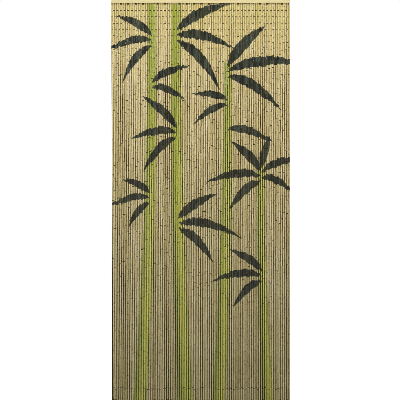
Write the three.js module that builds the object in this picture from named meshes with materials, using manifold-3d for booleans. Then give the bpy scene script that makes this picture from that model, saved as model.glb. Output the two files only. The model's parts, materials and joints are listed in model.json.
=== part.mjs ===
// Bamboo bead door curtain: a wooden hanging rail with a row of beaded strands under it.
// Millimetres, +Z up. The origin is the middle of the rail's back face, which goes against the
// lintel. The curtain's front looks along -Y, and the strands hang down along -Z.
import * as THREE from "three";
import { mergeVertices } from "three/addons/utils/BufferGeometryUtils.js";
import Module from "manifold-3d";

const wasm = await Module();
wasm.setup();

// Driving dimensions
const CURTAIN_WIDTH = 900; // a standard doorway curtain
const RAIL_HEIGHT = 20;
const RAIL_DEPTH = 12;
const RAIL_EASING = 1.5; // radius of the rail's long edges
const EASING_FACETS = 4; // flats on each eased edge
const STRAND_COUNT = 98;
const STRAND_WIDTH = 7.8; // outer width of one bamboo tube
const STRAND_DROP = 1996; // from the rail's underside to a strand's end
const DROP_SPREAD = 4; // how much longer or shorter a strand may be
const SEAT_GAP = 0.3; // between the rail's underside and the header

// The header: the row of wire eyes that the strands hang from, as one narrow strip
const HEADER_HEIGHT = 2;
const HEADER_DEPTH = 3;
const NECK_WIDTH = 3; // the wire link between the header and the first tube
const NECK_DEPTH = 2.4;
const NECK_DROP = 6; // from the rail's underside to the top of the first tube
const FUSE = 0.8; // how far a link runs into the header and into its tube

// How the strands stand: evenly at the rail, and leaning together in bunches lower down
const BUNCH_SIZES = [5, 4, 14, 7, 5, 7, 7, 6, 8, 11, 8, 2, 9, 5]; // strands in each bunch, from the left
const BUNCH_GAP = 2.4; // between two bunches
const CLOSEST_GAP = 0.9; // between two strands of a bunch that all but touch
const NARROW_GAPS = 0.35; // share of the gaps in a bunch that are the closest
const WIDE_GAPS = 0.85; // share of the gaps in a bunch that are less than the widest
const SETTLE_DROP = 600; // the drop over which the strands lean into their bunches
const HEM_LEAN = 12; // how far the strand at the left edge hangs towards the middle at the hem
const LEANING_SHARE = 0.8; // share of the strands that hang so, each less than the one to its left
const DEPTH_SWAY = 1.5; // how far forward or back a strand may stand
const LEAN_SECTIONS = 3; // straight lengths in the part of a strand that leans into its bunch

// Uses of the repeatable chance numbers, and the multipliers that scatter them
const SWAY_USE = 1;
const LENGTH_USE = 2;
const GAP_USE = 3;
const SCATTER = { strand: 12.9898, use: 78.233, wave: 43758.5453 };
const SAME_POINT = 1e-4; // corners nearer than this are one corner

const railBottom = -RAIL_HEIGHT / 2;
const strandY = -RAIL_DEPTH / 2;
const spareWidth = CURTAIN_WIDTH - STRAND_COUNT * STRAND_WIDTH;
const evenGap = spareWidth / (STRAND_COUNT - 1);
const bunchGaps = BUNCH_SIZES.length - 1;
const innerGaps = STRAND_COUNT - 1 - bunchGaps;

// A repeatable number from 0 to 1 for each strand and use
function chance(strand, use) {
  const wave = Math.sin(strand * SCATTER.strand + use * SCATTER.use) * SCATTER.wave;
  return wave - Math.floor(wave);
}

// From -1 to 1
function either(strand, use) {
  return 2 * chance(strand, use) - 1;
}

// How much of the width to share out a gap inside a bunch takes, before it is made to fit
function gapShare(strand) {
  return THREE.MathUtils.smoothstep(chance(strand, GAP_USE), NARROW_GAPS, WIDE_GAPS);
}

// The strands' places across the curtain below the leaning part
function settledPlaces() {
  const inBunch = BUNCH_SIZES.flatMap((size) => Array.from({ length: size }, (_, k) => k < size - 1));
  const shares = inBunch.map((inside, strand) => (inside ? gapShare(strand) : 0));
  const allShares = shares.reduce((sum, share) => sum + share, 0);
  const widthToShare = spareWidth - bunchGaps * BUNCH_GAP - innerGaps * CLOSEST_GAP;
  const places = [];
  let edge = -CURTAIN_WIDTH / 2;
  for (let strand = 0; strand < STRAND_COUNT; strand++) {
    places.push(edge + STRAND_WIDTH / 2);
    const innerGap = CLOSEST_GAP + (widthToShare * shares[strand]) / allShares;
    edge += STRAND_WIDTH + (inBunch[strand] ? innerGap : BUNCH_GAP);
  }
  return places;
}

const settled = settledPlaces();

// How far a strand hangs towards the middle at the hem
function hemLean(strand) {
  const fromLeft = strand / (STRAND_COUNT - 1);
  return HEM_LEAN * Math.max(1 - fromLeft / LEANING_SHARE, 0);
}

// A strand's middle at a drop below the rail
function strandMiddle(strand, drop) {
  const hook = -CURTAIN_WIDTH / 2 + STRAND_WIDTH / 2 + strand * (STRAND_WIDTH + evenGap);
  const lean = THREE.MathUtils.smoothstep(drop, NECK_DROP, SETTLE_DROP);
  const aside = (hemLean(strand) * drop) / STRAND_DROP;
  return new THREE.Vector2(
    THREE.MathUtils.lerp(hook, settled[strand], lean) + aside,
    strandY + DEPTH_SWAY * either(strand, SWAY_USE) * lean,
  );
}

function toSolid(geometry) {
  const bare = geometry.clone();
  bare.deleteAttribute("normal");
  bare.deleteAttribute("uv");
  const merged = mergeVertices(bare, SAME_POINT);
  return new wasm.Manifold(
    new wasm.Mesh({
      numProp: 3,
      vertProperties: merged.attributes.position.array,
      triVerts: new Uint32Array(merged.index.array),
    }),
  );
}

function toGeometry(solid) {
  const mesh = solid.getMesh();
  const geometry = new THREE.BufferGeometry();
  geometry.setAttribute("position", new THREE.BufferAttribute(mesh.vertProperties, 3));
  geometry.setIndex(new THREE.BufferAttribute(mesh.triVerts, 1));
  geometry.computeVertexNormals();
  return geometry;
}

// The rail's section is drawn from its back to its front, with all four long edges eased
function railGeometry() {
  const halfHeight = RAIL_HEIGHT / 2;
  const r = RAIL_EASING;
  const section = new THREE.Shape();
  section.moveTo(0, -halfHeight + r);
  section.lineTo(0, halfHeight - r);
  section.absarc(-r, halfHeight - r, r, 0, Math.PI / 2);
  section.lineTo(-RAIL_DEPTH + r, halfHeight);
  section.absarc(-RAIL_DEPTH + r, halfHeight - r, r, Math.PI / 2, Math.PI);
  section.lineTo(-RAIL_DEPTH, -halfHeight + r);
  section.absarc(-RAIL_DEPTH + r, -halfHeight + r, r, Math.PI, 1.5 * Math.PI);
  section.lineTo(-r, -halfHeight);
  section.absarc(-r, -halfHeight + r, r, 1.5 * Math.PI, 2 * Math.PI);
  const rail = new THREE.ExtrudeGeometry(section, {
    depth: CURTAIN_WIDTH,
    bevelEnabled: false,
    curveSegments: EASING_FACETS,
  });
  // The section's x and y become the rail's Y and Z, and the extrusion runs along X
  const turn = new THREE.Matrix4().makeBasis(
    new THREE.Vector3(0, 1, 0),
    new THREE.Vector3(0, 0, 1),
    new THREE.Vector3(1, 0, 0),
  );
  rail.applyMatrix4(turn);
  rail.translate(-CURTAIN_WIDTH / 2, 0, 0);
  return rail;
}

function boxBetween(width, depth, top, bottom, middle) {
  const box = new THREE.BoxGeometry(width, depth, top - bottom);
  box.translate(middle.x, middle.y, (top + bottom) / 2);
  return box;
}

// A strand: a square stick cut at the drops where its lean changes, each cut moved to its place
function strandGeometry(strand) {
  const end = STRAND_DROP + DROP_SPREAD * either(strand, LENGTH_USE);
  const stick = new THREE.BoxGeometry(STRAND_WIDTH, STRAND_WIDTH, 1, 1, 1, LEAN_SECTIONS + 1);
  const points = stick.attributes.position;
  for (let i = 0; i < points.count; i++) {
    const cut = Math.round((0.5 - points.getZ(i)) * (LEAN_SECTIONS + 1));
    const leaning = NECK_DROP + ((SETTLE_DROP - NECK_DROP) * cut) / LEAN_SECTIONS;
    const drop = cut > LEAN_SECTIONS ? end : leaning;
    const middle = strandMiddle(strand, drop);
    points.setXYZ(i, points.getX(i) + middle.x, points.getY(i) + middle.y, railBottom - drop);
  }
  return stick;
}

// The strands stand apart, and only their wire links are one with the header
function strandRowGeometry() {
  const headerTop = railBottom - SEAT_GAP;
  const headerBottom = headerTop - HEADER_HEIGHT;
  const middle = new THREE.Vector2(0, strandY);
  let row = toSolid(boxBetween(CURTAIN_WIDTH, HEADER_DEPTH, headerTop, headerBottom, middle));
  for (let strand = 0; strand < STRAND_COUNT; strand++) {
    const hook = strandMiddle(strand, NECK_DROP);
    const linkTop = headerBottom + FUSE;
    const linkBottom = railBottom - NECK_DROP - FUSE;
    const link = toSolid(boxBetween(NECK_WIDTH, NECK_DEPTH, linkTop, linkBottom, hook));
    row = row.add(link.add(toSolid(strandGeometry(strand))));
  }
  return toGeometry(row);
}

function finish(hex, roughness) {
  return new THREE.MeshStandardMaterial({ color: hex, roughness, metalness: 0 });
}

function piece(name, geometry, material) {
  const mesh = new THREE.Mesh(geometry, material);
  mesh.name = name;
  return mesh;
}

const curtain = new THREE.Group();
curtain.add(piece("rail", railGeometry(), finish(0xe8d9a7, 0.6)));
curtain.add(piece("strand_row", strandRowGeometry(), finish(0xc3b27d, 0.45)));

export default curtain;
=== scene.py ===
"""Looks of a bamboo bead door curtain: tubes on wire links under a wooden rail, painted on the front."""
import json
import math
from collections import namedtuple

import bmesh
import bpy
import numpy as np
from mathutils import Matrix, Vector

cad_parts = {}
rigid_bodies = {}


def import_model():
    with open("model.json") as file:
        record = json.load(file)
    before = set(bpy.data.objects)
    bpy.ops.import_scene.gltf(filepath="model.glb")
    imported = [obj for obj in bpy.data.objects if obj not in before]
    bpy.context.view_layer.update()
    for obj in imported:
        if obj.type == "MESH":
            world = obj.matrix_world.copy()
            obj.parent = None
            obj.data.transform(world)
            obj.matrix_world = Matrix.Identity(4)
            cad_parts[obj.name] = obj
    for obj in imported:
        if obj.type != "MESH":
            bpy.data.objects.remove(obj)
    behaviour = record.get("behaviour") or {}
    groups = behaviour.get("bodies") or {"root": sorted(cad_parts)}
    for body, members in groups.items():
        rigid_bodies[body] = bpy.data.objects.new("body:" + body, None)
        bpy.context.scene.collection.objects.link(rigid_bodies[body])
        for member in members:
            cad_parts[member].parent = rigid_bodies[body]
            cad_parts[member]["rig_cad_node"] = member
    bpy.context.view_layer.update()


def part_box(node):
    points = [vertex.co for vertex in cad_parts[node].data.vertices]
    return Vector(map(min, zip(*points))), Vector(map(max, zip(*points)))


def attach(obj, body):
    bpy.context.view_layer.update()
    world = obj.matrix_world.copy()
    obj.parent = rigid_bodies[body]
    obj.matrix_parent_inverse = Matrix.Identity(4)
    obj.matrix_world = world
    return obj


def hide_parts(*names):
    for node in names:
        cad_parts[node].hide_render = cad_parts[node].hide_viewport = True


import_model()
rail_low, rail_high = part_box("rail")

# Sizes in metres. The strands repeat the part's own layout.
CURTAIN_WIDTH = rail_high.x - rail_low.x
RAIL_UNDERSIDE = rail_low.z
STRAND_Y = (rail_low.y + rail_high.y) / 2
STRAND_COUNT = 98
STRAND_WIDTH = 0.0078
STRAND_DROP = 1.996  # from the rail's underside to a strand's end
DROP_SPREAD = 0.004  # how much longer or shorter a strand may be
NECK_DROP = 0.006  # where the strands start to lean into their bunches
BUNCH_SIZES = [5, 4, 14, 7, 5, 7, 7, 6, 8, 11, 8, 2, 9, 5]  # strands in each bunch, from the left
BUNCH_GAP = 0.0024  # between two bunches
CLOSEST_GAP = 0.0009  # between two strands of a bunch that all but touch
NARROW_GAPS = 0.35  # share of the gaps in a bunch that are the closest
WIDE_GAPS = 0.85  # share of the gaps in a bunch that are less than the widest
SETTLE_DROP = 0.600  # where the strands have leaned into their bunches
HEM_LEAN = 0.012  # how far the strand at the left edge hangs towards the middle at the hem
LEANING_SHARE = 0.8  # share of the strands that hang so, each less than the one to its left
DEPTH_SWAY = 0.0015  # how far forward or back a strand may stand

# The tubes along a strand
NECK_SHORT = 0.0008  # least gap between the rail and a strand's first tube
NECK_LONG = 0.0075  # the same on a longer link
NECK_SPREAD = 0.0016  # how much wider that gap may be
LONG_NECK_EVERY = 4  # one strand in so many may hang on a longer link
LONG_NECK_SHARE = 0.65  # share of those strands that do
TUBE_PITCH = 0.0638  # from joint to joint
LENGTH_SPREAD = 0.18  # how much longer or shorter a tube may be
EVEN_ROWS = 5  # rows over which the lengths grow uneven
LAST_ROW_DROP = 1.937  # the aligned row of joints over the hem
LAST_ROW_SPREAD = 0.007
LONGEST_LAST_TUBE = 1.35  # in pitches, of the tube over that row
TUBES_PER_STRAND_MOST = 64
JOINT_GAP = 0.0020  # of the joints at a strand's two ends
JOINT_TIGHT = 0.0005  # the narrowest of the other joints
JOINT_OPEN = 0.0030  # the widest of them
OPEN_ROWS_DROP = 0.10  # the joints near the rail gape widest down to here
OPEN_ROWS_FADE = 0.30  # the drop over which they close up
OPEN_ROWS_UNEVEN = 0.4  # how much less one of them may gape
LAST_ROW_OPENING = 0.9  # how far a joint of the last row may open
JOINT_POWER = 3  # the higher it is, the fewer joints gape lower down
LOOSE_DROP = 1.05  # the tubes hang loosely down to here
CLOSE_DROP = 1.75  # and closely from here on
CLOSE_OPENING = 0.10  # share of the looseness that is left there
TUBE_SIDES = 8
TUBE_RADIUS = STRAND_WIDTH / 2
TUBE_LENGTH = TUBE_PITCH - JOINT_GAP
TUBE_WALL = 0.0016
TUBE_BORE_DEPTH = 0.005
TUBE_EDGE_ROUND = 0.0005
ROUND_PROFILE = 0.5
TUBE_RIM_BAND = 0.0012  # a loop of edges so far from each end keeps the wall's shading even
RADIUS_SPREAD = 0.10  # how much slimmer a tube may be
TOP_WIDENING = 0.13  # how much wider the tubes are at the rail
TUBE_TWIST = math.radians(6)
MOST_SWAY = 0.0012  # the furthest that a tube hangs out of its strand's line
SWAY_CLEARANCE = 0.00004  # kept free beside each tube
SWAY_TURN = 0.3  # share of a second sway that a tube's lower end takes

# The wire eyes that link the tubes
EYE_RADIUS = 0.0015
WIRE_RADIUS = 0.00055
EYE_STEPS = 8
WIRE_SIDES = 3
EYE_OFFSET = 0.00075  # of an eye's middle from the joint's middle
SHANK_LENGTH = 0.006
SAME_POINT = WIRE_RADIUS / 10  # corners nearer than this are one corner

# Uses of the repeatable chance numbers, and the multipliers that scatter them
USES = [
    "sway", "length", "gap", "last row", "strand radius", "strand tone", "tube radius", "tube length",
    "tube tone", "row opening", "tube turn", "joint", "neck", "top sway", "strand turn", "bottom sway",
]
USE = {name: number for number, name in enumerate(USES, start=1)}
SCATTER_STRAND = 12.9898
SCATTER_USE = 78.233
SCATTER_WAVE = 43758.5453


def chance(number, use):
    """A repeatable number from 0 to 1."""
    wave = math.sin(number * SCATTER_STRAND + USE[use] * SCATTER_USE) * SCATTER_WAVE
    return wave - math.floor(wave)


def either(number, use):
    """A repeatable number from -1 to 1."""
    return 2 * chance(number, use) - 1


def smoothstep(value, low, high):
    """From 0 at the low value to 1 at the high one, with soft ends."""
    part = min(max((value - low) / (high - low), 0), 1)
    return part * part * (3 - 2 * part)


# Where the strands stand

spare_width = CURTAIN_WIDTH - STRAND_COUNT * STRAND_WIDTH
even_gap = spare_width / (STRAND_COUNT - 1)
bunch_gaps = len(BUNCH_SIZES) - 1
inner_gaps = STRAND_COUNT - 1 - bunch_gaps


def settled_places():
    """The strands' places across the curtain below the leaning part."""
    in_bunch = [step < size - 1 for size in BUNCH_SIZES for step in range(size)]
    shares = [
        smoothstep(chance(strand, "gap"), NARROW_GAPS, WIDE_GAPS) if inside else 0
        for strand, inside in enumerate(in_bunch)
    ]
    all_shares = sum(shares)
    width_to_share = spare_width - bunch_gaps * BUNCH_GAP - inner_gaps * CLOSEST_GAP
    places = []
    edge = rail_low.x
    for inside, share in zip(in_bunch, shares):
        places.append(edge + STRAND_WIDTH / 2)
        inner_gap = CLOSEST_GAP + width_to_share * share / all_shares
        edge += STRAND_WIDTH + (inner_gap if inside else BUNCH_GAP)
    return places


SETTLED = settled_places()


def hem_lean(strand):
    """How far a strand hangs towards the middle at the hem."""
    from_left = strand / (STRAND_COUNT - 1)
    return HEM_LEAN * max(1 - from_left / LEANING_SHARE, 0)


def strand_middle(strand, drop):
    """The point on a strand's middle line at a drop below the rail."""
    hook = rail_low.x + STRAND_WIDTH / 2 + strand * (STRAND_WIDTH + even_gap)
    lean = smoothstep(drop, NECK_DROP, SETTLE_DROP)
    x = hook + (SETTLED[strand] - hook) * lean + hem_lean(strand) * drop / STRAND_DROP
    y = STRAND_Y + DEPTH_SWAY * either(strand, "sway") * lean
    return Vector((x, y, RAIL_UNDERSIDE - drop))


def side_room(strand, neighbour):
    """How far a tube may hang out of its strand's line before it comes near the strand beside it."""
    if not 0 <= neighbour < STRAND_COUNT:
        return 0
    gap = abs(SETTLED[neighbour] - SETTLED[strand]) - STRAND_WIDTH
    return min(max(gap / 2 - SWAY_CLEARANCE, 0), MOST_SWAY)


def slackness(drop):
    """From 1 where the tubes hang loosely to a small share near the hem, where they close up."""
    return 1 + (CLOSE_OPENING - 1) * smoothstep(drop, LOOSE_DROP, CLOSE_DROP)


def tube_end(strand, drop, chosen):
    """The middle of a tube's end, moved a little to one side as far as its neighbours let it."""
    leftmost = -side_room(strand, strand - 1)
    rightmost = side_room(strand, strand + 1)
    sway = leftmost + (rightmost - leftmost) * chosen
    sway *= smoothstep(drop, NECK_DROP, SETTLE_DROP) * slackness(drop)
    return strand_middle(strand, drop) + Vector((sway, 0, 0))


# Where the tubes and their joints are

Joint = namedtuple("Joint", "drop gap")
Tube = namedtuple("Tube", "top bottom radius turn tone strand_tone")


def tube_number(strand, row):
    """A number of its own for each tube or joint of the curtain."""
    return strand * TUBES_PER_STRAND_MOST + row


def neck_drop(strand):
    """How far under the rail a strand's first tube starts. A few strands hang on longer links."""
    chosen = chance(strand, "neck")
    is_long = strand % LONG_NECK_EVERY == 1 and chosen < LONG_NECK_SHARE
    return (NECK_LONG if is_long else NECK_SHORT) + NECK_SPREAD * chosen


def joint_drops(strand):
    """How far down a strand's joints are, from the one under the rail to the last row's."""
    last_row = LAST_ROW_DROP + LAST_ROW_SPREAD * either(strand, "last row")
    drops = [NECK_DROP - JOINT_GAP / 2]
    # Every other strand starts with half a tube
    if strand % 2:
        drops.append(drops[0] + TUBE_PITCH / 2)
    while drops[-1] < last_row - LONGEST_LAST_TUBE * TUBE_PITCH:
        row = len(drops)
        uneven = LENGTH_SPREAD * min(row / EVEN_ROWS, 1) ** 2
        length = TUBE_PITCH * (1 + uneven * either(tube_number(strand, row), "tube length"))
        drops.append(drops[-1] + length)
    return [*drops, last_row]


def joint_gap(number, drop, in_last_row):
    """How wide a joint gapes: widest near the rail, and by chance lower down and in the last row."""
    chosen = chance(number, "joint")
    near_rail = 1 - (drop - OPEN_ROWS_DROP) / OPEN_ROWS_FADE
    near_rail -= OPEN_ROWS_UNEVEN * chance(number, "row opening")
    lower_down = slackness(drop) * chosen ** JOINT_POWER
    at_hem = LAST_ROW_OPENING * chosen if in_last_row else 0
    opening = min(max(near_rail, lower_down, at_hem), 1)
    return JOINT_TIGHT + (JOINT_OPEN - JOINT_TIGHT) * opening


def strand_joints(strand):
    """A strand's joints, from the one under the rail to the strand's end, and how wide each one gapes."""
    drops = joint_drops(strand)
    # The first tube starts where the strand's own link lets it
    joints = [Joint(neck_drop(strand) - JOINT_GAP / 2, JOINT_GAP)]
    for row, drop in enumerate(drops[1:]):
        joints.append(Joint(drop, joint_gap(tube_number(strand, row), drop, drop == drops[-1])))
    end = STRAND_DROP + DROP_SPREAD * either(strand, "length")
    joints.append(Joint(end + JOINT_GAP / 2, JOINT_GAP))
    return joints


def strand_tubes(strand):
    """The tubes of one strand, each from joint to joint."""
    joints = strand_joints(strand)
    tubes = []
    for row, (above, below) in enumerate(zip(joints, joints[1:])):
        number = tube_number(strand, row)
        wider = TOP_WIDENING * (1 - smoothstep(above.drop, 0, SETTLE_DROP))
        slimmer = RADIUS_SPREAD * (chance(strand, "strand radius") + chance(number, "tube radius")) / 2
        lean = chance(number, "top sway")
        turned_lean = lean + SWAY_TURN * (chance(number, "bottom sway") - lean)
        tubes.append(Tube(
            top=tube_end(strand, above.drop + above.gap / 2, lean),
            bottom=tube_end(strand, below.drop - below.gap / 2, turned_lean),
            radius=TUBE_RADIUS * (1 + wider) * (1 - slimmer),
            turn=math.tau * chance(strand, "strand turn") + TUBE_TWIST * either(number, "tube turn"),
            tone=chance(number, "tube tone"),
            strand_tone=chance(strand, "strand tone"),
        ))
    return tubes


def link_places(tubes):
    """Where a strand's wire eyes meet: over its first tube, between its tubes and under its last one."""
    half_gap = Vector((0, 0, JOINT_GAP / 2))
    between = [(above.bottom + below.top) / 2 for above, below in zip(tubes, tubes[1:])]
    return [tubes[0].top + half_gap, *between, tubes[-1].bottom - half_gap]


# Shapes that are copied along the strands

CUT_FINISH = 1  # place of the sawn ends' material in a tube's list
Shape = namedtuple("Shape", "points corners starts finishes smooth")


def tube_shape():
    """A bamboo tube hanging from the origin: a round wall, eased rims and a blind bore in each end."""
    bm = bmesh.new()
    bmesh.ops.create_cone(
        bm, cap_ends=True, cap_tris=False, segments=TUBE_SIDES,
        radius1=TUBE_RADIUS, radius2=TUBE_RADIUS, depth=TUBE_LENGTH,
    )
    bmesh.ops.translate(bm, verts=bm.verts, vec=(0, 0, -TUBE_LENGTH / 2))
    caps = [face for face in bm.faces if len(face.verts) == TUBE_SIDES]
    rims = [edge for face in caps for edge in face.edges]
    bmesh.ops.bevel(
        bm, geom=rims, offset=TUBE_EDGE_ROUND, offset_type="OFFSET", affect="EDGES",
        segments=1, profile=ROUND_PROFILE, material=-1,
    )
    for height in (-TUBE_RIM_BAND, TUBE_RIM_BAND - TUBE_LENGTH):
        whole = bm.verts[:] + bm.edges[:] + bm.faces[:]
        bmesh.ops.bisect_plane(bm, geom=whole, plane_co=(0, 0, height), plane_no=(0, 0, 1))
    for face in bm.faces:
        face.smooth = True
    caps = [face for face in bm.faces if len(face.verts) == TUBE_SIDES]
    rim_faces = bmesh.ops.inset_individual(bm, faces=caps, thickness=TUBE_WALL - TUBE_EDGE_ROUND)["faces"]
    bore_faces = bmesh.ops.inset_individual(
        bm, faces=caps, thickness=TUBE_EDGE_ROUND / 2, depth=-TUBE_BORE_DEPTH
    )["faces"]
    for face in rim_faces + bore_faces + caps:
        face.material_index = CUT_FINISH
        face.smooth = face in bore_faces
    return bm


def eye_shape():
    """A wire eye around the origin: a ring of wire with its shank above."""
    bm = bmesh.new()
    section = bmesh.ops.create_circle(bm, segments=WIRE_SIDES, radius=WIRE_RADIUS)["verts"]
    bmesh.ops.rotate(bm, verts=section, cent=(0, 0, 0), matrix=Matrix.Rotation(math.pi / 2, 3, "X"))
    bmesh.ops.translate(bm, verts=section, vec=(EYE_RADIUS, 0, 0))
    bmesh.ops.spin(
        bm, geom=list(bm.verts) + list(bm.edges), cent=(0, 0, 0), axis=(0, 1, 0),
        angle=math.tau, steps=EYE_STEPS, use_merge=True,
    )
    bmesh.ops.remove_doubles(bm, verts=bm.verts, dist=SAME_POINT)
    shank = bmesh.ops.create_cone(
        bm, cap_ends=True, segments=WIRE_SIDES, radius1=WIRE_RADIUS, radius2=WIRE_RADIUS, depth=SHANK_LENGTH
    )["verts"]
    bmesh.ops.translate(bm, verts=shank, vec=(0, 0, EYE_RADIUS + SHANK_LENGTH / 2))
    bmesh.ops.recalc_face_normals(bm, faces=bm.faces)
    for face in bm.faces:
        face.smooth = True
    return bm


def as_arrays(bm):
    """A bmesh as plain arrays, and the bmesh is freed."""
    mesh = bpy.data.meshes.new("shape")
    bm.to_mesh(mesh)
    bm.free()
    points = np.empty(len(mesh.vertices) * 3)
    mesh.vertices.foreach_get("co", points)
    corners = np.empty(len(mesh.loops), dtype=np.int32)
    mesh.loops.foreach_get("vertex_index", corners)
    faces = {}
    for name in ("loop_start", "material_index", "use_smooth"):
        faces[name] = np.empty(len(mesh.polygons), dtype=np.int32)
        mesh.polygons.foreach_get(name, faces[name])
    bpy.data.meshes.remove(mesh)
    return Shape(
        points.reshape(-1, 3), corners, faces["loop_start"], faces["material_index"],
        faces["use_smooth"].astype(bool),
    )


def joined_copies(name, shape, places, attributes, materials):
    """One object holding a copy of the shape for each array of placed points."""
    copies = len(places)
    per_copy = len(shape.points)
    steps = np.arange(copies, dtype=np.int32)
    mesh = bpy.data.meshes.new(name)
    mesh.vertices.add(copies * per_copy)
    mesh.vertices.foreach_set("co", np.asarray(places, dtype=np.float32).ravel())
    mesh.loops.add(copies * len(shape.corners))
    corners = shape.corners[None, :] + steps[:, None] * per_copy
    mesh.loops.foreach_set("vertex_index", corners.ravel().astype(np.int32))
    mesh.polygons.add(copies * len(shape.starts))
    starts = shape.starts[None, :] + steps[:, None] * len(shape.corners)
    mesh.polygons.foreach_set("loop_start", starts.ravel().astype(np.int32))
    mesh.polygons.foreach_set("material_index", np.tile(shape.finishes, copies))
    mesh.polygons.foreach_set("use_smooth", np.tile(shape.smooth, copies))
    for label, values in attributes.items():
        layer = mesh.attributes.new(label, "FLOAT", "POINT")
        layer.data.foreach_set("value", np.asarray(values, dtype=np.float32).ravel())
    for material in materials:
        mesh.materials.append(material)
    mesh.update(calc_edges=True)
    mesh.validate()
    piece = bpy.data.objects.new(name, mesh)
    bpy.context.scene.collection.objects.link(piece)
    return piece


def placed_tube(shape, tube):
    """The shape's points as one tube of a strand."""
    along = -shape.points[:, 2:3] / TUBE_LENGTH
    widen = tube.radius / TUBE_RADIUS
    cosine, sine = math.cos(tube.turn), math.sin(tube.turn)
    x, y = shape.points[:, 0:1] * widen, shape.points[:, 1:2] * widen
    round_axis = np.hstack((x * cosine - y * sine, x * sine + y * cosine, np.zeros_like(x)))
    axis = np.array(tube.top) + along * (np.array(tube.bottom) - np.array(tube.top))
    return axis + round_axis


def tube_attributes(shape, tubes):
    """What the materials know of each point: its share of the tube's length, and the tube's tones."""
    along = np.clip(-shape.points[:, 2] / TUBE_LENGTH, 0, 1)
    each_point = np.ones(len(shape.points))
    return {
        "along": np.tile(along, len(tubes)),
        "tube_tone": [tube.tone * each_point for tube in tubes],
        "strand_tone": [tube.strand_tone * each_point for tube in tubes],
    }


def placed_eye(shape, centre, upward):
    """The shape's points as one wire eye. One with its shank down is also turned a quarter."""
    points = shape.points.copy()
    if not upward:
        points[:, [0, 2]] *= -1
        points = points[:, [1, 0, 2]] * (1, -1, 1)
    return points + np.array(centre)


def strand_eyes(shape, tubes):
    """The wire eyes of one strand. Two hook into each other at each joint, and the last one hangs free."""
    lift = Vector((0, 0, EYE_OFFSET))
    places = link_places(tubes)
    upper = [placed_eye(shape, place + lift, upward=True) for place in places]
    lower = [placed_eye(shape, place - lift, upward=False) for place in places[:-1]]
    return upper + lower


# Node helpers

# The mix node's sockets go by number, because several of them share a label
MIX_FACTOR, MIX_FIRST, MIX_SECOND, MIX_RESULT = 0, 6, 7, 2
NOISE_MIDDLE = 0.5
VECTOR_INPUTS = ("Vector", "Stretch")
Grain = namedtuple("Grain", "stretch seed detail", defaults=[3.0])


def add_node(tree, kind, **settings):
    node = tree.nodes.new(kind)
    for name, value in settings.items():
        setattr(node, name, value)
    return node


def feed(tree, socket, value):
    """Links a socket to another one's value, or sets it to a plain number."""
    if isinstance(value, bpy.types.NodeSocket):
        tree.links.new(value, socket)
    else:
        socket.default_value = value


def calculate(tree, operation, *values, clamp=False):
    node = add_node(tree, "ShaderNodeMath", operation=operation, use_clamp=clamp)
    for socket, value in zip(node.inputs, values):
        feed(tree, socket, value)
    return node.outputs["Value"]


def weighted_sum(tree, parts):
    """The sum of the values, each times its share."""
    total = 0.0
    for value, share in parts:
        total = calculate(tree, "MULTIPLY_ADD", value, share, total)
    return total


def remap(tree, value, low, high, to_low=0.0, to_high=1.0, smooth=False):
    """The value's place between low and high, as a value between two others."""
    node = add_node(tree, "ShaderNodeMapRange", interpolation_type="SMOOTHSTEP" if smooth else "LINEAR")
    settings = {"Value": value, "From Min": low, "From Max": high, "To Min": to_low, "To Max": to_high}
    for name, given in settings.items():
        feed(tree, node.inputs[name], given)
    return node.outputs["Result"]


def mix_colour(tree, factor, first, second, blend="MIX"):
    node = add_node(tree, "ShaderNodeMix", data_type="RGBA", blend_type=blend)
    feed(tree, node.inputs[MIX_FACTOR], factor)
    feed(tree, node.inputs[MIX_FIRST], first)
    feed(tree, node.inputs[MIX_SECOND], second)
    return node.outputs[MIX_RESULT]


def ramp(tree, value, stops):
    """A colour that runs through the stops, each a place from 0 to 1 with its colour."""
    node = add_node(tree, "ShaderNodeValToRGB")
    elements = node.color_ramp.elements
    while len(elements) < len(stops):
        elements.new(1.0)
    for element, (place, colour) in zip(elements, stops):
        element.position = place
        element.color = (*colour, 1)
    feed(tree, node.inputs["Fac"], value)
    return node.outputs["Color"]


def object_point(tree):
    return add_node(tree, "ShaderNodeTexCoord").outputs["Object"]


def split_axes(tree, vector):
    node = add_node(tree, "ShaderNodeSeparateXYZ")
    feed(tree, node.inputs[0], vector)
    return node.outputs


def attribute(tree, name):
    return add_node(tree, "ShaderNodeAttribute", attribute_name=name).outputs["Fac"]


def add_bump(tree, shader, height, strength, distance):
    bump = add_node(tree, "ShaderNodeBump")
    bump.inputs["Strength"].default_value = strength
    bump.inputs["Distance"].default_value = distance
    feed(tree, bump.inputs["Height"], height)
    feed(tree, shader.inputs["Normal"], bump.outputs["Normal"])


def new_material(name):
    material = bpy.data.materials.new(name)
    material.use_nodes = True
    tree = material.node_tree
    return material, tree, tree.nodes["Principled BSDF"]


def new_group(name, inputs, outputs):
    group = bpy.data.node_groups.new(name, "ShaderNodeTree")
    for label in inputs:
        kind = "NodeSocketVector" if label in VECTOR_INPUTS else "NodeSocketFloat"
        group.interface.new_socket(label, in_out="INPUT", socket_type=kind)
    for label in outputs:
        group.interface.new_socket(label, in_out="OUTPUT", socket_type="NodeSocketFloat")
    return group, group.nodes.new("NodeGroupInput").outputs, group.nodes.new("NodeGroupOutput").inputs


def use_group(tree, group, values):
    node = add_node(tree, "ShaderNodeGroup", node_tree=group)
    for label, value in values.items():
        feed(tree, node.inputs[label], value)
    return node.outputs


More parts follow.
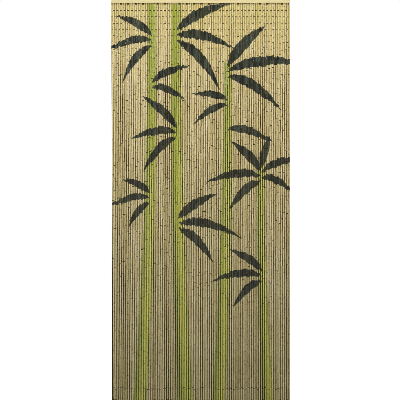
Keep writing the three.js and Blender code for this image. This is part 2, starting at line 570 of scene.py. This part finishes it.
def grain_group():
    """Noise from 0 to 1 whose grain is a metre divided by the stretch along each axis."""
    group, given, made = new_group("stretched_grain", ["Vector", "Stretch", "Seed", "Detail"], ["Grain"])
    scaled = add_node(group, "ShaderNodeVectorMath", operation="MULTIPLY")
    feed(group, scaled.inputs[0], given["Vector"])
    feed(group, scaled.inputs[1], given["Stretch"])
    noise = add_node(group, "ShaderNodeTexNoise", noise_dimensions="4D")
    feed(group, noise.inputs["Vector"], scaled.outputs["Vector"])
    feed(group, noise.inputs["W"], given["Seed"])
    feed(group, noise.inputs["Scale"], 1.0)
    feed(group, noise.inputs["Detail"], given["Detail"])
    feed(group, made["Grain"], noise.outputs["Fac"])
    return group


STRETCHED_GRAIN = grain_group()


def stretched_noise(tree, vector, grain):
    """The grain that all materials share, with this use's own values."""
    values = {"Vector": vector, "Stretch": grain.stretch, "Seed": grain.seed, "Detail": grain.detail}
    return use_group(tree, STRETCHED_GRAIN, values)["Grain"]


# The painted reeds on the front: stalks that lean and bow, and sprays of blades that grow out of them

Stalk = namedtuple("Stalk", "foot head head_drop half_width bow")
STALKS = [
    Stalk(-0.305, -0.245, 0.0, 0.032, 0.020),
    Stalk(-0.075, -0.120, 0.0, 0.037, -0.018),
    Stalk(0.090, 0.135, 0.300, 0.031, 0.014),
    Stalk(0.340, 0.305, 0.800, 0.027, -0.012),
]
Spray = namedtuple("Spray", "stalk drop heading length half_width blades")
SPRAYS = [
    Spray(0, 0.190, 165, 0.22, 0.022, 3),
    Spray(1, 0.165, 15, 0.30, 0.027, 3),
    Spray(0, 0.410, 26, 0.19, 0.021, 2),
    Spray(2, 0.500, 165, 0.18, 0.020, 2),
    Spray(2, 0.345, 30, 0.34, 0.028, 3),
    Spray(1, 0.650, 162, 0.23, 0.023, 3),
    Spray(2, 0.635, 12, 0.21, 0.023, 1),
    Spray(3, 0.870, 160, 0.24, 0.024, 3),
    Spray(3, 0.850, 40, 0.20, 0.021, 3),
    Spray(0, 0.980, 165, 0.18, 0.020, 3),
    Spray(1, 1.110, 15, 0.27, 0.025, 3),
    Spray(3, 1.370, 160, 0.22, 0.022, 3),
]
ARCH = 4  # makes a share times its rest reach 1 in the middle
STALK_TOP_WIDTH = 0.6  # share of a stalk's width that is left at its head
BLADE_SPREAD = math.radians(36)  # between two blades of a spray
BLADE_STAGGER = 0.024  # between two blades' roots
BLADE_DROOP = 0.55
BLADE_BASE_POWER = 0.8
BLADE_SWELL = 3.44
OUTER_BLADES_SHORTER = 0.08
Wave = namedtuple("Wave", "height by_blade by_drop")
ANGLE_WAVE = Wave(0.12, 7, 31)
LENGTH_WAVE = Wave(0.1, 9.1, 50)


def unevenness(wave, blade, drop):
    """A factor near 1 that differs from blade to blade."""
    return 1 + wave.height * math.sin(wave.by_blade * blade + wave.by_drop * drop)


def stalk_middle(stalk, drop):
    """How far across a stalk's middle is at a drop."""
    share = (drop - stalk.head_drop) / (STRAND_DROP - stalk.head_drop)
    return stalk.head + (stalk.foot - stalk.head) * share + ARCH * stalk.bow * share * (1 - share)


def spray_blades(spray):
    """The blades of one spray as rows of values for the blade group, the highest first."""
    side = 1 if math.cos(math.radians(spray.heading)) > 0 else -1
    for blade in range(spray.blades):
        rise = (spray.blades - 1) / 2 - blade
        spread = BLADE_SPREAD * unevenness(ANGLE_WAVE, blade, spray.drop)
        heading = math.radians(spray.heading) + side * rise * spread
        shorter = 1 - OUTER_BLADES_SHORTER * abs(rise)
        length = spray.length * shorter * unevenness(LENGTH_WAVE, blade, spray.drop)
        yield {
            "Root Across": stalk_middle(STALKS[spray.stalk], spray.drop),
            "Root Drop": spray.drop - BLADE_STAGGER * rise,
            "Heading": heading,
            "Length": length,
            "Half Width": spray.half_width,
            "Droop": -BLADE_DROOP * length * math.cos(heading),
        }


def blade_group():
    """How far inside one lance-shaped blade a point lies, in metres."""
    group, given, made = new_group(
        "painted_blade",
        ["Across", "Drop", "Root Across", "Root Drop", "Heading", "Length", "Half Width", "Droop"],
        ["Cover"],
    )
    out = calculate(group, "SUBTRACT", given["Across"], given["Root Across"])
    up = calculate(group, "SUBTRACT", given["Root Drop"], given["Drop"])
    cosine = calculate(group, "COSINE", given["Heading"])
    sine = calculate(group, "SINE", given["Heading"])
    forward = calculate(
        group, "ADD", calculate(group, "MULTIPLY", out, cosine), calculate(group, "MULTIPLY", up, sine)
    )
    aside = calculate(
        group, "SUBTRACT", calculate(group, "MULTIPLY", up, cosine), calculate(group, "MULTIPLY", out, sine)
    )
    share = calculate(group, "DIVIDE", forward, given["Length"], clamp=True)
    bend = calculate(group, "MULTIPLY", calculate(group, "MULTIPLY", share, share), given["Droop"])
    from_middle = calculate(group, "ABSOLUTE", calculate(group, "SUBTRACT", aside, bend))
    swell = calculate(group, "POWER", share, BLADE_BASE_POWER)
    taper = calculate(group, "MULTIPLY", calculate(group, "SUBTRACT", 1.0, share), BLADE_SWELL)
    half = calculate(group, "MULTIPLY", calculate(group, "MULTIPLY", swell, taper), given["Half Width"])
    feed(group, made["Cover"], calculate(group, "SUBTRACT", half, from_middle))
    return group


def stalk_group():
    """How far inside one stalk a point lies, in metres, and its side from -1 to 1."""
    group, given, made = new_group(
        "painted_stalk",
        ["Across", "Drop", "Foot Across", "Head Across", "Head Drop", "Half Width", "Bow"],
        ["Cover", "Side"],
    )
    share = remap(group, given["Drop"], given["Head Drop"], STRAND_DROP)
    rest = calculate(group, "SUBTRACT", 1.0, share)
    straight = remap(group, share, 0.0, 1.0, given["Head Across"], given["Foot Across"])
    arch = calculate(group, "MULTIPLY", calculate(group, "MULTIPLY", share, rest), given["Bow"])
    middle = calculate(group, "ADD", straight, calculate(group, "MULTIPLY", arch, ARCH))
    widening = remap(group, share, 0.0, 1.0, STALK_TOP_WIDTH, 1.0)
    half = calculate(group, "MULTIPLY", given["Half Width"], widening)
    offset = calculate(group, "SUBTRACT", given["Across"], middle)
    inside = calculate(group, "SUBTRACT", half, calculate(group, "ABSOLUTE", offset))
    below_head = calculate(group, "SUBTRACT", given["Drop"], given["Head Drop"])
    feed(group, made["Cover"], calculate(group, "MINIMUM", inside, below_head))
    feed(group, made["Side"], calculate(group, "DIVIDE", offset, half))
    return group


# The bamboo's own colours. A span is the two values, mostly drops, between which something comes or goes.

STREAK_STRETCH = (1300, 1300, 20)
STREAK_DETAIL = 4.0
STREAK_SPAN = (0.3, 0.7)
BLOTCH_STRETCH = (110, 110, 45)
FIBRE_SEEDS = 40.0  # how far apart in the noise the strands' fibres lie
DRIFT = Grain((130, 130, 4.5), 11.0)
HUE = Grain((90, 90, 8), 23.0)
TUBE_TONE_SHARE = 0.16
STRAND_TONE_SHARE = 0.20
DRIFT_SHARE = 0.44
BLOTCH_SHARE = 0.20
STRAW_TONES = [
    (0.15, (0.29, 0.220, 0.075)),
    (0.35, (0.45, 0.375, 0.165)),
    (0.60, (0.61, 0.540, 0.310)),
    (0.85, (0.78, 0.730, 0.530)),
]
FIBRE_SHADES = [(0.3, (0.72, 0.68, 0.60)), (0.7, (1.0, 1.0, 1.0))]
HUE_TINTS = [(0.35, (1.0, 0.955, 1.0)), (0.65, (0.965, 0.985, 0.945))]
YELLOWED = (0.52, 0.455, 0.185, 1)
YELLOWED_SPAN = (0.0, 0.45)
YELLOWED_MOST = 0.65
WEATHERED_TINT = (0.970, 1.0, 0.985, 1)
WEATHERED_SPAN = (0.5, 1.9)
SATIN_ROUGHNESS = (0.55, 0.42)  # on the dark fibres and between them
STREAK_BUMP = 0.3
STREAK_HEIGHT = 0.0003

# The paint on the bamboo
PAINT_SHIFT = 0.004  # how much higher or lower the paint lies from strand to strand
FRONT_SPAN = (0.3, -0.05)  # how far back the skin looks where it holds no paint, and where it holds it all
BRUSH = Grain((260, 260, 120), 0.0)
BRUSH_RAGGED = 0.0035  # how far the brush misses the drawn edges
# The colours across a stalk, with a hard step to its dark edge
LIMES = [
    (0.10, (0.27, 0.30, 0.060)),
    (0.45, (0.42, 0.43, 0.070)),
    (0.75, (0.52, 0.515, 0.115)),
    (1.00, (0.36, 0.39, 0.060)),
    (1.00, (0.22, 0.26, 0.050)),
]
STROKE = Grain((105, 105, 5), 7.0)
STROKE_SHARE = 0.9  # how far the strokes shift these colours from side to side
LIME_FIBRES = 0.35  # how much of the fibres shows through
FRESH_LIME = (0.243, 0.271, 0.043, 1)
FRESH_SPAN = (0.25, 1.1)
FRESH_MOST = 0.85
STALK_EDGE_SPAN = (-0.0006, 0.0006)
BLADE_EDGE_SPAN = (0.0002, 0.0016)
BARE = -1.0  # cover of a point far from every blade
LEAF_STREAKS = 0.5
LEAF_TONES = 0.5
LEAF_THIN_SPAN = (0.3, 0.9)
LEAF_THICK = (0.004, 0.007, 0.003, 1)
LEAF_THIN = (0.062, 0.074, 0.046, 1)
LEAF_FADE_SPAN = (0.3, 1.0)
LEAF_FADED = 0.96
LEAF_ROUGHNESS = 0.75

# The dirt on the bamboo and the paint, and painted shade between the strands and under the rail
# Dust and painted shade on the tubes' sides, where they face the strands beside them, darker lower down
DUST_AND_SHADE_TINT = (0.44, 0.37, 0.05, 1)
DUST_AND_SHADE_SPAN = (0.0, 2.0)
DUST_AND_SHADE_AMOUNTS = (0.1, 0.62)  # at the rail and at the hem
DUST_AND_SHADE_ON_STRANDS = (1.0, 0.25)  # on the darkest strand and on the palest
DUST_AND_SHADE_SIDE_SPAN = (0.5, 0.97)  # how far a face is turned sideways
# This dark colour is grime at the tubes' worn ends and painted shadow on their tops under the rail
GRIME_AND_SHADE = (0.12, 0.085, 0.04, 1)
SHADED_SPAN = (0.008, 0.0115)
SHADED_MOST = 0.30
WORN_SPAN = (0.0, 0.02)  # in shares of a tube's length
WORN_MOST = 0.25

Surface = namedtuple("Surface", "point across depth normal tube_tone strand_tone along streak blotch")


def fibre_group():
    """Bamboo's long fibres and soft blotches."""
    group, given, made = new_group("bamboo_fibre", ["Vector", "Seed"], ["Streak", "Blotch"])
    seed = calculate(group, "MULTIPLY", given["Seed"], FIBRE_SEEDS)
    streaks = Grain(STREAK_STRETCH, seed, STREAK_DETAIL)
    feed(group, made["Streak"], stretched_noise(group, given["Vector"], streaks))
    feed(group, made["Blotch"], stretched_noise(group, given["Vector"], Grain(BLOTCH_STRETCH, seed)))
    return group


def read_surface(tree):
    """What the bamboo's material needs to know of a point."""
    place = add_node(tree, "ShaderNodeTexCoord")
    point = place.outputs["Object"]
    axes = split_axes(tree, point)
    strand_tone = attribute(tree, "strand_tone")
    fibre = use_group(tree, fibre_group(), {"Vector": point, "Seed": strand_tone})
    return Surface(
        point=point,
        across=axes["X"],
        depth=calculate(tree, "SUBTRACT", RAIL_UNDERSIDE, axes["Z"]),
        normal=split_axes(tree, place.outputs["Normal"]),
        tube_tone=attribute(tree, "tube_tone"),
        strand_tone=strand_tone,
        along=attribute(tree, "along"),
        streak=fibre["Streak"],
        blotch=fibre["Blotch"],
    )


def straw_colour(tree, surface, fibres):
    """Bare bamboo, yellower near the rail and greyer lower down."""
    tone = weighted_sum(tree, [
        (surface.tube_tone, TUBE_TONE_SHARE),
        (surface.strand_tone, STRAND_TONE_SHARE),
        (stretched_noise(tree, surface.point, DRIFT), DRIFT_SHARE),
        (surface.blotch, BLOTCH_SHARE),
    ])
    straw = ramp(tree, tone, STRAW_TONES)
    yellowed = remap(tree, surface.depth, *YELLOWED_SPAN, YELLOWED_MOST, 0.0, smooth=True)
    straw = mix_colour(tree, yellowed, straw, YELLOWED)
    straw = mix_colour(tree, 1.0, straw, fibres, "MULTIPLY")
    tints = ramp(tree, stretched_noise(tree, surface.point, HUE), HUE_TINTS)
    straw = mix_colour(tree, 1.0, straw, tints, "MULTIPLY")
    weathered = remap(tree, surface.depth, *WEATHERED_SPAN)
    return mix_colour(tree, weathered, straw, WEATHERED_TINT, "MULTIPLY")


def paint_stalks(tree, surface, drop, brush, front, fibres, colour):
    """The colour with the stalks painted over it."""
    stroke = calculate(tree, "SUBTRACT", stretched_noise(tree, surface.point, STROKE), NOISE_MIDDLE)
    fresh = remap(tree, surface.depth, *FRESH_SPAN, FRESH_MOST, 0.0)
    stalk_paint = stalk_group()
    for stalk in STALKS:
        drawn = use_group(tree, stalk_paint, {
            "Across": surface.across, "Drop": drop, "Foot Across": stalk.foot, "Head Across": stalk.head,
            "Head Drop": stalk.head_drop, "Half Width": stalk.half_width, "Bow": stalk.bow,
        })
        side = remap(tree, drawn["Side"], -1.0, 1.0)
        lime = ramp(tree, calculate(tree, "MULTIPLY_ADD", stroke, STROKE_SHARE, side), LIMES)
        lime = mix_colour(tree, LIME_FIBRES, lime, fibres, "MULTIPLY")
        lime = mix_colour(tree, fresh, lime, FRESH_LIME)
        mask = remap(tree, calculate(tree, "ADD", drawn["Cover"], brush), *STALK_EDGE_SPAN)
        colour = mix_colour(tree, calculate(tree, "MULTIPLY", mask, front), colour, lime)
    return colour


def paint_leaves(tree, surface, drop, brush, front, colour):
    """The colour with the leaves painted over it, and how far they cover it."""
    blade_paint = blade_group()
    cover = BARE
    for spray in SPRAYS:
        for row in spray_blades(spray):
            drawn = use_group(tree, blade_paint, {"Across": surface.across, "Drop": drop, **row})
            cover = calculate(tree, "MAXIMUM", drawn["Cover"], cover)
    mask = remap(tree, calculate(tree, "ADD", cover, brush), *BLADE_EDGE_SPAN)
    thin = weighted_sum(tree, [(surface.streak, LEAF_STREAKS), (surface.tube_tone, LEAF_TONES)])
    leaf = mix_colour(tree, remap(tree, thin, *LEAF_THIN_SPAN), LEAF_THICK, LEAF_THIN)
    opaque = remap(tree, surface.depth, *LEAF_FADE_SPAN, 1.0, LEAF_FADED)
    leafy = calculate(tree, "MULTIPLY", calculate(tree, "MULTIPLY", mask, front), opaque)
    return mix_colour(tree, leafy, colour, leaf), leafy


def add_dirt_and_shade(tree, surface, colour):
    """The colour under dust and painted shade on the tubes' sides between the strands, mostly low down,
    painted shadow under the rail, and grime at the ends.
    """
    # Dust and painted shade on the faces turned sideways, towards the strands beside them
    sideways = calculate(tree, "ABSOLUTE", surface.normal["X"])
    dust_and_shade_share = remap(tree, surface.strand_tone, 0.0, 1.0, *DUST_AND_SHADE_ON_STRANDS)
    most_dust_and_shade = calculate(tree, "MULTIPLY", remap(tree, surface.depth, *DUST_AND_SHADE_SPAN, *DUST_AND_SHADE_AMOUNTS), dust_and_shade_share)
    dust_and_shade = remap(tree, sideways, *DUST_AND_SHADE_SIDE_SPAN, 0.0, most_dust_and_shade, smooth=True)
    dusty_and_shaded = mix_colour(tree, 1.0, colour, DUST_AND_SHADE_TINT, "MULTIPLY")
    colour = mix_colour(tree, dust_and_shade, colour, dusty_and_shaded)
    # Painted shadow under the rail on the tops of the first tubes
    shaded = remap(tree, surface.depth, *SHADED_SPAN, SHADED_MOST, 0.0)
    colour = mix_colour(tree, shaded, colour, GRIME_AND_SHADE)
    near_end = calculate(tree, "MINIMUM", surface.along, calculate(tree, "SUBTRACT", 1.0, surface.along))
    worn = remap(tree, near_end, *WORN_SPAN, WORN_MOST, 0.0)
    return mix_colour(tree, worn, colour, GRIME_AND_SHADE)


def painted_bamboo():
    """The tubes' skin: bamboo with long fibres, painted on the front, with dust and painted shade on the
    sides.
    """
    material, tree, shader = new_material("painted_bamboo")
    surface = read_surface(tree)
    fibres = ramp(tree, surface.streak, FIBRE_SHADES)
    colour = straw_colour(tree, surface, fibres)
    shift = remap(tree, surface.strand_tone, 0.0, 1.0, -PAINT_SHIFT, PAINT_SHIFT)
    drop = calculate(tree, "ADD", surface.depth, shift)
    ragged = stretched_noise(tree, surface.point, BRUSH)
    brush = remap(tree, ragged, 0.0, 1.0, -BRUSH_RAGGED, BRUSH_RAGGED)
    front = remap(tree, surface.normal["Y"], *FRONT_SPAN, smooth=True)
    colour = paint_stalks(tree, surface, drop, brush, front, fibres, colour)
    colour, leafy = paint_leaves(tree, surface, drop, brush, front, colour)
    feed(tree, shader.inputs["Base Color"], add_dirt_and_shade(tree, surface, colour))
    satin = remap(tree, surface.streak, *STREAK_SPAN, *SATIN_ROUGHNESS)
    feed(tree, shader.inputs["Roughness"], remap(tree, leafy, 0.0, 1.0, satin, LEAF_ROUGHNESS))
    add_bump(tree, shader, surface.streak, STREAK_BUMP, STREAK_HEIGHT)
    return material


# The other materials

SPECKLE_SPAN = (0.3, 0.7)
CUT_PORES = Grain((2200, 2200, 300), 3.0)
CUT_SHADES = [(0.35, (0.10, 0.07, 0.035)), (0.65, (0.34, 0.26, 0.13))]
CUT_ROUGHNESS = (0.9, 0.7)  # in the pores and between them
WIRE_SCALE = Grain((700, 700, 700), 1.0)
WIRE_SHADES = [(0.35, (0.020, 0.017, 0.014)), (0.65, (0.060, 0.048, 0.037))]
WIRE_ROUGHNESS = (0.62, 0.40)  # where it is dark and where it is paler
WIRE_METALLIC = 0.5
WOOD_GRAIN = Grain((7, 260, 260), 5.0, 5.0)
WOOD_TONES = [
    (0.25, (0.36, 0.302, 0.155)),
    (0.50, (0.455, 0.395, 0.215)),
    (0.75, (0.51, 0.455, 0.260)),
]
WOOD_GRAIN_SPAN = (0.2, 0.8)
WOOD_ROUGHNESS = (0.62, 0.48)  # on the dark grain and on the pale
WOOD_PORES = Grain((60, 1500, 1500), 9.0)
PORE_SHADES = [(0.35, (0.72, 0.66, 0.55)), (0.5, (1.0, 1.0, 1.0))]
PORE_SHARE = 0.5
PORE_BUMP = 0.25
PORE_HEIGHT = 0.0004


def speckled(name, grain, shades, roughness):
    """A material whose colour and roughness follow one noise."""
    material, tree, shader = new_material(name)
    speckle = stretched_noise(tree, object_point(tree), grain)
    feed(tree, shader.inputs["Base Color"], ramp(tree, speckle, shades))
    feed(tree, shader.inputs["Roughness"], remap(tree, speckle, *SPECKLE_SPAN, *roughness))
    return material, shader


def cut_bamboo():
    """The sawn ends and the bores."""
    return speckled("cut_bamboo", CUT_PORES, CUT_SHADES, CUT_ROUGHNESS)[0]


def dark_wire():
    """Dull, dark wire."""
    material, shader = speckled("dark_wire", WIRE_SCALE, WIRE_SHADES, WIRE_ROUGHNESS)
    shader.inputs["Metallic"].default_value = WIRE_METALLIC
    return material


def rail_wood():
    """Pale planed wood with its grain along the rail."""
    material, tree, shader = new_material("rail_wood")
    point = object_point(tree)
    grain = stretched_noise(tree, point, WOOD_GRAIN)
    pores = stretched_noise(tree, point, WOOD_PORES)
    wood = ramp(tree, grain, WOOD_TONES)
    wood = mix_colour(tree, PORE_SHARE, wood, ramp(tree, pores, PORE_SHADES), "MULTIPLY")
    feed(tree, shader.inputs["Base Color"], wood)
    feed(tree, shader.inputs["Roughness"], remap(tree, grain, *WOOD_GRAIN_SPAN, *WOOD_ROUGHNESS))
    add_bump(tree, shader, pores, PORE_BUMP, PORE_HEIGHT)
    return material


# The pieces

STRANDS_PER_PIECE = 14


def build_strands():
    """The tubes and their wire links, in pieces of a few strands each."""
    tube = as_arrays(tube_shape())
    eye = as_arrays(eye_shape())
    finishes = [painted_bamboo(), cut_bamboo()]
    wire = dark_wire()
    for first in range(0, STRAND_COUNT, STRANDS_PER_PIECE):
        label = 1 + first // STRANDS_PER_PIECE
        strands = [strand_tubes(strand) for strand in range(first, first + STRANDS_PER_PIECE)]
        tubes = [one for strand in strands for one in strand]
        piece = joined_copies(
            f"bamboo_strands_{label}", tube, [placed_tube(tube, one) for one in tubes],
            tube_attributes(tube, tubes), finishes,
        )
        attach(piece, "root")
        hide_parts("strand_row")
        eyes = [one for strand in strands for one in strand_eyes(eye, strand)]
        links = joined_copies(f"wire_links_{label}", eye, eyes, {}, [wire])
        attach(links, "root")


def dress_rail():
    """The rail keeps its solid and gets its wood."""
    rail = next(node for node in bpy.context.scene.objects if node.get("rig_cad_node") == "rail")
    rail.data.materials.clear()
    rail.data.materials.append(rail_wood())


# Camera. The pixels are those of the curtain's edges in the photo, which set the distance and the aim.

PHOTO_PIXELS = 400
CURTAIN_PIXELS = 179
CURTAIN_MIDDLE_PIXEL = 200.5
RAIL_UNDERSIDE_PIXEL = 3.2
LENS_MM = 100
SENSOR_MM = 36
METRES_PER_PIXEL = CURTAIN_WIDTH / CURTAIN_PIXELS
CAMERA_X = -(CURTAIN_MIDDLE_PIXEL - PHOTO_PIXELS / 2) * METRES_PER_PIXEL
CAMERA_Z = RAIL_UNDERSIDE - (PHOTO_PIXELS / 2 - RAIL_UNDERSIDE_PIXEL) * METRES_PER_PIXEL
CAMERA_DISTANCE = LENS_MM / SENSOR_MM * PHOTO_PIXELS * METRES_PER_PIXEL
FILTER_WIDTH = 0.7  # of a pixel, which keeps the strands crisp


def place_camera():
    camera = bpy.data.objects.new("camera", bpy.data.cameras.new("camera"))
    camera.data.lens = LENS_MM
    camera.data.sensor_width = SENSOR_MM
    camera.location = (CAMERA_X, STRAND_Y - CAMERA_DISTANCE, CAMERA_Z)
    camera.rotation_euler = (math.pi / 2, 0, 0)
    bpy.context.scene.collection.objects.link(camera)
    bpy.context.scene.camera = camera


# The stage: a white floor, and a dark card, painted shade behind the strands, that shows between them from
# the front

HEM_Z = RAIL_UNDERSIDE - STRAND_DROP - DROP_SPREAD
FLOOR_GAP = 0.012  # under the longest strand
FLOOR_Z = HEM_Z - FLOOR_GAP
FLOOR_HALF_SIZE = 8
FLOOR_SHADES = [(0.3, (0.27, 0.27, 0.265)), (0.7, (0.30, 0.30, 0.295))]
FLOOR_GLOW = 1.0  # keeps the floor white where no lamp reaches
CARD_Y = 0.002
CARD_MARGIN = 0.004  # between the card's sides and the rail's ends
CARD_TOP = 0  # behind the rail
# Painted shade behind the strands, with painted light near the rail
CARD_SHADES = [(0.3, (0.036, 0.024, 0.002)), (0.7, (0.048, 0.032, 0.003))]
CARD_NEAR_RAIL = (0.11, 0.082, 0.020, 1)
CARD_FADE = 0.4  # the drop over which the card darkens
UNIT_HALF_SIZE = 0.5  # of a sheet one metre wide
WHITE = (1, 1, 1, 1)
PAPER_CLOUD = Grain((2, 2, 2), 2.0)
PAPER_ROUGHNESS = 0.9
PAPER_SPECULAR = 0.1


def add_stage(name, bm, material):
    """A sheet of the stage, which sends no light on to the curtain."""
    mesh = bpy.data.meshes.new(name)
    bm.to_mesh(mesh)
    bm.free()
    mesh.materials.append(material)
    sheet = bpy.data.objects.new(name, mesh)
    bpy.context.scene.collection.objects.link(sheet)
    sheet.visible_diffuse = False
    sheet.visible_glossy = False
    sheet.visible_transmission = False
    return sheet


def stage_paper(name, shades, glow=0.0):
    """Matt paper, which may glow."""
    material, tree, shader = new_material(name)
    cloud = stretched_noise(tree, object_point(tree), PAPER_CLOUD)
    feed(tree, shader.inputs["Base Color"], ramp(tree, cloud, shades))
    shader.inputs["Roughness"].default_value = PAPER_ROUGHNESS
    shader.inputs["Specular IOR Level"].default_value = PAPER_SPECULAR
    shader.inputs["Emission Color"].default_value = WHITE
    shader.inputs["Emission Strength"].default_value = glow
    material.cycles.emission_sampling = "NONE"
    return material, tree, shader


def show_front_only(tree, shader):
    """Lets a sheet's back be seen through, so that it hides nothing from behind."""
    clear = add_node(tree, "ShaderNodeBsdfTransparent")
    mixed = add_node(tree, "ShaderNodeMixShader")
    facing = add_node(tree, "ShaderNodeNewGeometry")
    feed(tree, mixed.inputs[0], facing.outputs["Backfacing"])
    feed(tree, mixed.inputs[1], shader.outputs[0])
    feed(tree, mixed.inputs[2], clear.outputs[0])
    feed(tree, tree.nodes["Material Output"].inputs["Surface"], mixed.outputs[0])


def shade_card_paper():
    """Dark brown paper that stands as painted shade behind the strands, paler near the rail as painted
    light, where light from above reaches it.
    """
    material, tree, shader = stage_paper("shade_paper", CARD_SHADES)
    paper = shader.inputs["Base Color"].links[0].from_socket
    height = split_axes(tree, object_point(tree))["Z"]
    near_rail = remap(tree, height, RAIL_UNDERSIDE - CARD_FADE, RAIL_UNDERSIDE, smooth=True)
    feed(tree, shader.inputs["Base Color"], mix_colour(tree, near_rail, paper, CARD_NEAR_RAIL))
    show_front_only(tree, shader)
    return material


def build_stage():
    floor = bmesh.new()
    bmesh.ops.create_grid(floor, x_segments=1, y_segments=1, size=FLOOR_HALF_SIZE)
    bmesh.ops.translate(floor, verts=floor.verts, vec=(0, 0, FLOOR_Z))
    add_stage("floor", floor, stage_paper("floor_paper", FLOOR_SHADES, FLOOR_GLOW)[0])
    card = bmesh.new()
    bmesh.ops.create_grid(card, x_segments=1, y_segments=1, size=UNIT_HALF_SIZE)
    bmesh.ops.rotate(card, verts=card.verts, cent=(0, 0, 0), matrix=Matrix.Rotation(math.pi / 2, 3, "X"))
    bmesh.ops.scale(card, verts=card.verts, vec=(CURTAIN_WIDTH - 2 * CARD_MARGIN, 1, CARD_TOP - HEM_Z))
    middle = ((rail_low.x + rail_high.x) / 2, CARD_Y, (CARD_TOP + HEM_Z) / 2)
    bmesh.ops.translate(card, verts=card.verts, vec=middle)
    add_stage("shade_card", card, shade_card_paper()).visible_shadow = False


# Light. The key lamp gives no highlights, and the sheen lamp gives nothing else.

Lamp = namedtuple("Lamp", "name place target width height watts colour diffuse glossy")
LAMPS = [
    Lamp("key", (0, -2.55, 0.50), (0, 0, -0.7), 2.4, 0.6, 128, (1.0, 0.98, 0.92), True, False),
    Lamp("top_glow", (0, -0.6, 0.35), (0, 0, -0.15), 1.2, 0.2, 0.9, (1.0, 0.86, 0.35), True, True),
    Lamp("back_fill", (0.8, 2.6, 0.6), (0, 0, -0.9), 2.0, 1.5, 110, (1.0, 0.98, 0.95), True, True),
    Lamp("sheen", (0, -4.0, -2.2), (0, 0, -1.4), 0.8, 2.8, 350, (0.72, 0.90, 1.30), False, True),
]
AMBIENT_COLOUR = (1.0, 0.94, 0.80, 1)
AMBIENT_STRENGTH = 0.08


def add_lamp(given):
    light = bpy.data.lights.new(given.name, "AREA")
    light.shape = "RECTANGLE"
    light.size = given.width
    light.size_y = given.height
    light.energy = given.watts
    light.color = given.colour
    lamp = bpy.data.objects.new(given.name, light)
    lamp.location = given.place
    aim = Vector(given.target) - Vector(given.place)
    lamp.rotation_euler = aim.to_track_quat("-Z", "Y").to_euler()
    lamp.visible_diffuse = given.diffuse
    lamp.visible_glossy = given.glossy
    bpy.context.scene.collection.objects.link(lamp)


def light_surroundings():
    """A faint warm glow all round, which the camera sees as white."""
    world = bpy.data.worlds.new("studio")
    bpy.context.scene.world = world
    world.use_nodes = True
    tree = world.node_tree
    ambient = tree.nodes["Background"]
    ambient.inputs["Color"].default_value = AMBIENT_COLOUR
    ambient.inputs["Strength"].default_value = AMBIENT_STRENGTH
    white = add_node(tree, "ShaderNodeBackground")
    white.inputs["Color"].default_value = WHITE
    mixed = add_node(tree, "ShaderNodeMixShader")
    feed(tree, mixed.inputs[0], add_node(tree, "ShaderNodeLightPath").outputs["Is Camera Ray"])
    feed(tree, mixed.inputs[1], ambient.outputs["Background"])
    feed(tree, mixed.inputs[2], white.outputs["Background"])
    feed(tree, tree.nodes["World Output"].inputs["Surface"], mixed.outputs["Shader"])


def light_scene():
    for lamp in LAMPS:
        add_lamp(lamp)
    light_surroundings()
    bpy.context.scene.view_settings.view_transform = "Standard"
    bpy.context.scene.cycles.filter_width = FILTER_WIDTH


place_camera()
build_strands()
dress_rail()
build_stage()
light_scene()
